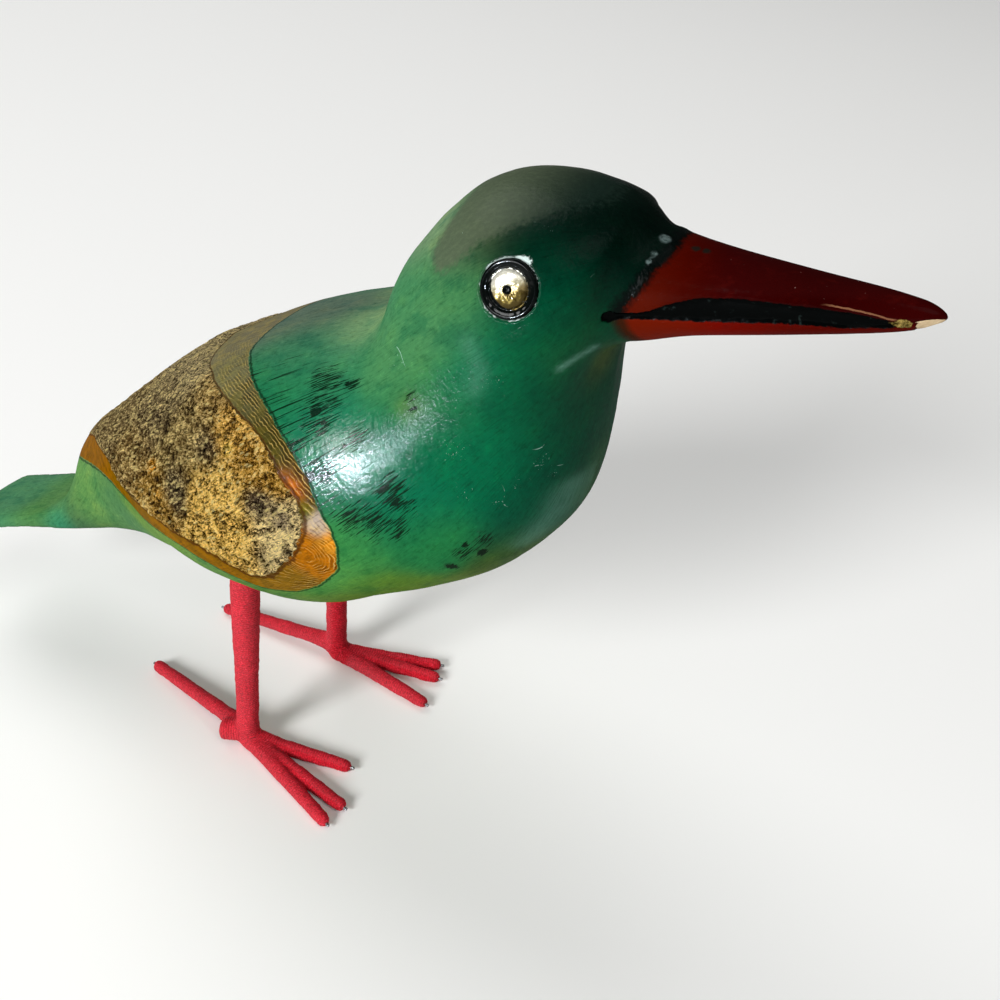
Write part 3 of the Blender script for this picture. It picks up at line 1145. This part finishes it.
def set_eye(name, sign):
    """A brass tack, pressed into its own ring of black paint, its domed middle left showing."""
    bm = bmesh.new()
    rim = [bm.verts.new((r, 0, h)) for r, h in EYE_OUTLINE]
    for a, b in zip(rim, rim[1:]):
        bm.edges.new((a, b))
    bmesh.ops.spin(bm, geom=bm.verts[:] + bm.edges[:], cent=(0, 0, 0), axis=(0, 0, 1), angle=math.tau,
                   steps=96, use_merge=True, use_duplicate=False)
    bmesh.ops.remove_doubles(bm, verts=bm.verts, dist=1e-4)
    bmesh.ops.holes_fill(bm, edges=[e for e in bm.edges if e.is_boundary], sides=0)
    bmesh.ops.recalc_face_normals(bm, faces=bm.faces)
    cut_in_four(bm, [e for e in bm.edges if e.calc_length() > 0.3])
    mesh = bpy.data.meshes.new(name)
    bm.to_mesh(mesh)
    bm.free()
    local = points_of(mesh)
    out = np.hypot(local[:, 0], local[:, 1])
    lumps = noise_at(local, 0.9, 11.0 + sign, 3)
    local[:, 2] += lumps * 0.09 * smooth_step(3.2, 2.6, out) + lumps * 0.07 * smooth_step(4.7, 4.3, out)
    local[:, :2] *= (EYE_RADIUS / EYE_OUTLINE[0][0] * (1 + 0.006 * noise_at(local, 2.5, 3.0, 2)))[:, None]
    centre, outward = eye_place(sign)
    forward = np.array([1.0, 0, 0]) - outward[0] * outward
    forward /= np.linalg.norm(forward)
    up = np.cross(outward, forward) * sign
    up = up if up[2] > 0 else -up
    points = centre + local[:, :1] * forward * -sign + local[:, 1:2] * up + local[:, 2:] * outward
    if np.linalg.det(np.array([forward * -sign, up, outward])) < 0:
        mesh.flip_normals()

    # The disc's gold is egg-shaped, and black paint runs over its lower rear edge.
    u, w = local[:, 0] * -sign, local[:, 1]
    gold = 3.5 - np.hypot(u + 0.1, w + 0.1) - 1.1 * smooth_step(1.2, 3.0, -(u + w) / 1.414)
    set_attributes(mesh, {"gold_in": gold, "high": w - 0.5 * u, "out": out})
    finished(mesh, points, name, name, painted_brass())


def painted_brass():
    """Old brass under thick black enamel: its lacquered gold, pale and scuffed, shows in the middle."""
    material, node = new_material("painted_tack_brass")
    measure = partial(node, "Attribute", out="Fac")
    gold_in, high, out = (measure(attribute_name=name) for name in ("gold_in", "high", "out"))
    millimetres = node("Mapping", node("TexCoord", out="Object"), Scale=(1000, 1000, 1000))
    wear = node("TexNoise", millimetres, Scale=1.5, Detail=4, Roughness=0.7)
    bared = node("MapRange", node("Math", wear, 0.9, gold_in, operation="MULTIPLY_ADD"), 0.42, 0.52)
    bared = node("Math", bared, node("MapRange", out, 0.75, 0.9), operation="MULTIPLY")
    pale = node("MapRange", node("Math", wear, 3.0, high, operation="MULTIPLY_ADD"), 0.2, 3.4)
    gold = node("ValToRGB", pale, stops=(
        (0.0, linear("443818")), (0.3, linear("86744a")), (0.6, linear("aca484")),
        (1.0, linear("e0dccc"))))
    bump = node("Bump", Strength=0.35, Distance=0.0002, Height=wear)
    metal = node("Math", bared, 0.55, operation="MULTIPLY")
    colour = layered(node, linear("050807"), ((bared, gold),))
    shader = node("BsdfPrincipled", Base_Color=colour, Metallic=metal, Roughness=0.3, Normal=bump,
                  Specular_IOR_Level=0.0, Coat_Weight=0.15, Coat_Roughness=0.08)
    node("OutputMaterial", shader)
    return material


def pale_floor():
    """Matt white paper, to give back soft light and take a faint shadow."""
    material, node = new_material("matt_white_paper")
    tooth = node("TexNoise", node("TexCoord", out="Object"), Scale=400, Detail=3)
    bump = node("Bump", Strength=0.1, Distance=0.0001, Height=tooth)
    node("OutputMaterial", node("BsdfPrincipled", Base_Color=linear("f4f4f2"), Roughness=0.9, Normal=bump,
                                Specular_IOR_Level=0.2))
    return material


def towards(azimuth, elevation):
    """The direction out from the bird, in degrees round from its right side and above level."""
    a, e = math.radians(azimuth), math.radians(elevation)
    return Vector((math.sin(a) * math.cos(e), -math.cos(a) * math.cos(e), math.sin(e)))


def add_light(name, azimuth, elevation, distance, size, power):
    back = towards(azimuth, elevation)
    data = bpy.data.lights.new(name, "AREA")
    data.shape = "DISK"
    data.size = size
    data.energy = power
    light = bpy.data.objects.new(name, data)
    light.location = Vector(LIT_PLACE) + back * distance
    light.rotation_mode = "QUATERNION"
    light.rotation_quaternion = back.to_track_quat("Z", "Y")
    bpy.context.scene.collection.objects.link(light)


def build_stage():
    """Floor, lights, background and the camera at the photograph's angle."""
    scene = bpy.context.scene
    stage = scene.bird_stage
    bm = bmesh.new()
    bmesh.ops.create_grid(bm, x_segments=1, y_segments=1, size=3)
    mesh = bpy.data.meshes.new("floor")
    bm.to_mesh(mesh)
    bm.free()
    mesh.materials.append(pale_floor())
    floor = bpy.data.objects.new("floor", mesh)
    scene.collection.objects.link(floor)
    for name, place in LIGHTS.items():
        add_light(name, *place, getattr(stage, name + "_power"))

    # The small light makes the varnish glint and lights nothing else.
    spark = bpy.data.objects["spark"]
    spark.data.color = linear("e4f2ff")
    spark.visible_diffuse = False
    scene.world = bpy.data.worlds.new("studio")
    scene.world.use_nodes = True
    surround = scene.world.node_tree.nodes["Background"].inputs
    surround["Color"].default_value = (1, 1, 1, 1)
    surround["Strength"].default_value = stage.surround

    back = towards(CAMERA_AZIMUTH, CAMERA_ELEVATION)
    right = towards(CAMERA_AZIMUTH + 90, 0)
    up = back.cross(right)
    c, s = math.cos(CAMERA_ROLL), math.sin(CAMERA_ROLL)
    turned = Matrix((right * c + up * s, up * c - right * s, back)).transposed().to_4x4()
    data = bpy.data.cameras.new("camera")
    data.lens, data.sensor_width = CAMERA_LENS, CAMERA_SENSOR
    data.clip_start, data.clip_end = 0.01, 20
    camera = bpy.data.objects.new("camera", data)
    camera.matrix_world = Matrix.Translation(Vector(CAMERA_AIM) * MM + back * CAMERA_DISTANCE) @ turned
    scene.collection.objects.link(camera)
    scene.camera = camera
    scene.view_settings.view_transform = "Standard"


length = partial(FloatProperty, subtype="DISTANCE", unit="LENGTH")
power = partial(FloatProperty, unit="POWER")


class BirdCarving(bpy.types.PropertyGroup):
    """Sizes of the carved body."""

    skin_step: length(name="Skin step", description="Spacing of the carved surface's mesh",
                      default=0.0015, min=0.0005)
    bark_height: length(name="Bark height", description="How far the bark stands above the bare wood",
                        default=0.00035)
    bark_roughness: length(name="Bark roughness", description="Height of the bark's crumbs",
                           default=0.0009)


class BirdLegs(bpy.types.PropertyGroup):
    """Sizes and colour of the wrapped legs."""

    skin_step: length(name="Skin step", description="Spacing of a leg's mesh", default=0.0003, min=0.0002)
    thread_step: length(name="Thread step", description="Distance between two turns of thread",
                        default=0.00062)
    thread_colour: FloatVectorProperty(name="Thread colour", description="Colour of the clean thread",
                                       default=linear("d6182e"), subtype="COLOR", min=0, max=1)


class BirdStage(bpy.types.PropertyGroup):
    """Strength of the lights."""

    key_power: power(name="Key light", description="Power of the main light", default=33)
    spark_power: power(name="Spark", description="Power of the light that makes varnish glint", default=80)
    sky_power: power(name="Top light", description="Power of the wide light above", default=24)
    fill_power: power(name="Fill light", description="Power of the wide light in front", default=19)
    surround: FloatProperty(name="Surround", description="Brightness of the white surround", default=0.15)


class BIRD_OT_carve_body(bpy.types.Operator):
    """Carve the body, head, beak and tail, with the bark on the back"""

    bl_idname = "bird.carve_body"
    bl_label = "Carve body"

    def execute(self, context):
        carve_body()
        return {"FINISHED"}


class BIRD_OT_wrap_legs(bpy.types.Operator):
    """Bend both legs from wire and wrap them in red thread"""

    bl_idname = "bird.wrap_legs"
    bl_label = "Wrap legs"

    def execute(self, context):
        for name in LEGS:
            wrap_leg(name)
        return {"FINISHED"}


class BIRD_OT_set_eyes(bpy.types.Operator):
    """Press a brass tack into each side of the head"""

    bl_idname = "bird.set_eyes"
    bl_label = "Set eyes"

    def execute(self, context):
        set_eye("right_eye", -1)
        set_eye("left_eye", 1)
        return {"FINISHED"}


class BIRD_OT_build_stage(bpy.types.Operator):
    """Set out the floor, the lights and the camera"""

    bl_idname = "bird.build_stage"
    bl_label = "Build stage"

    def execute(self, context):
        build_stage()
        return {"FINISHED"}


class BIRD_PT_panel(bpy.types.Panel):
    """The bird's sizes and the steps that make it"""

    bl_label = "Carved bird"
    bl_space_type = "VIEW_3D"
    bl_region_type = "UI"
    bl_category = "Bird"

    def draw(self, context):
        for name in ("bird_carving", "bird_legs", "bird_stage"):
            group = getattr(context.scene, name)
            for key in group.bl_rna.properties.keys():
                if key not in ("rna_type", "name"):
                    self.layout.prop(group, key)
        for operator in OPERATORS:
            self.layout.operator(operator.bl_idname)


OPERATORS = (BIRD_OT_build_stage, BIRD_OT_carve_body, BIRD_OT_wrap_legs, BIRD_OT_set_eyes)
GROUPS = {"bird_carving": BirdCarving, "bird_legs": BirdLegs, "bird_stage": BirdStage}


def register():
    for group in GROUPS.values():
        bpy.utils.register_class(group)
    for operator in OPERATORS:
        bpy.utils.register_class(operator)
    bpy.utils.register_class(BIRD_PT_panel)
    for name, group in GROUPS.items():
        setattr(bpy.types.Scene, name, PointerProperty(type=group))


def unregister():
    for name in GROUPS:
        delattr(bpy.types.Scene, name)
    bpy.utils.unregister_class(BIRD_PT_panel)
    for operator in reversed(OPERATORS):
        bpy.utils.unregister_class(operator)
    for group in reversed(list(GROUPS.values())):
        bpy.utils.unregister_class(group)


def main():
    register()
    bpy.ops.bird.build_stage()
    bpy.ops.bird.carve_body()
    bpy.ops.bird.wrap_legs()
    bpy.ops.bird.set_eyes()
    bpy.context.view_layer.update()


if __name__ == "__main__":
    main()
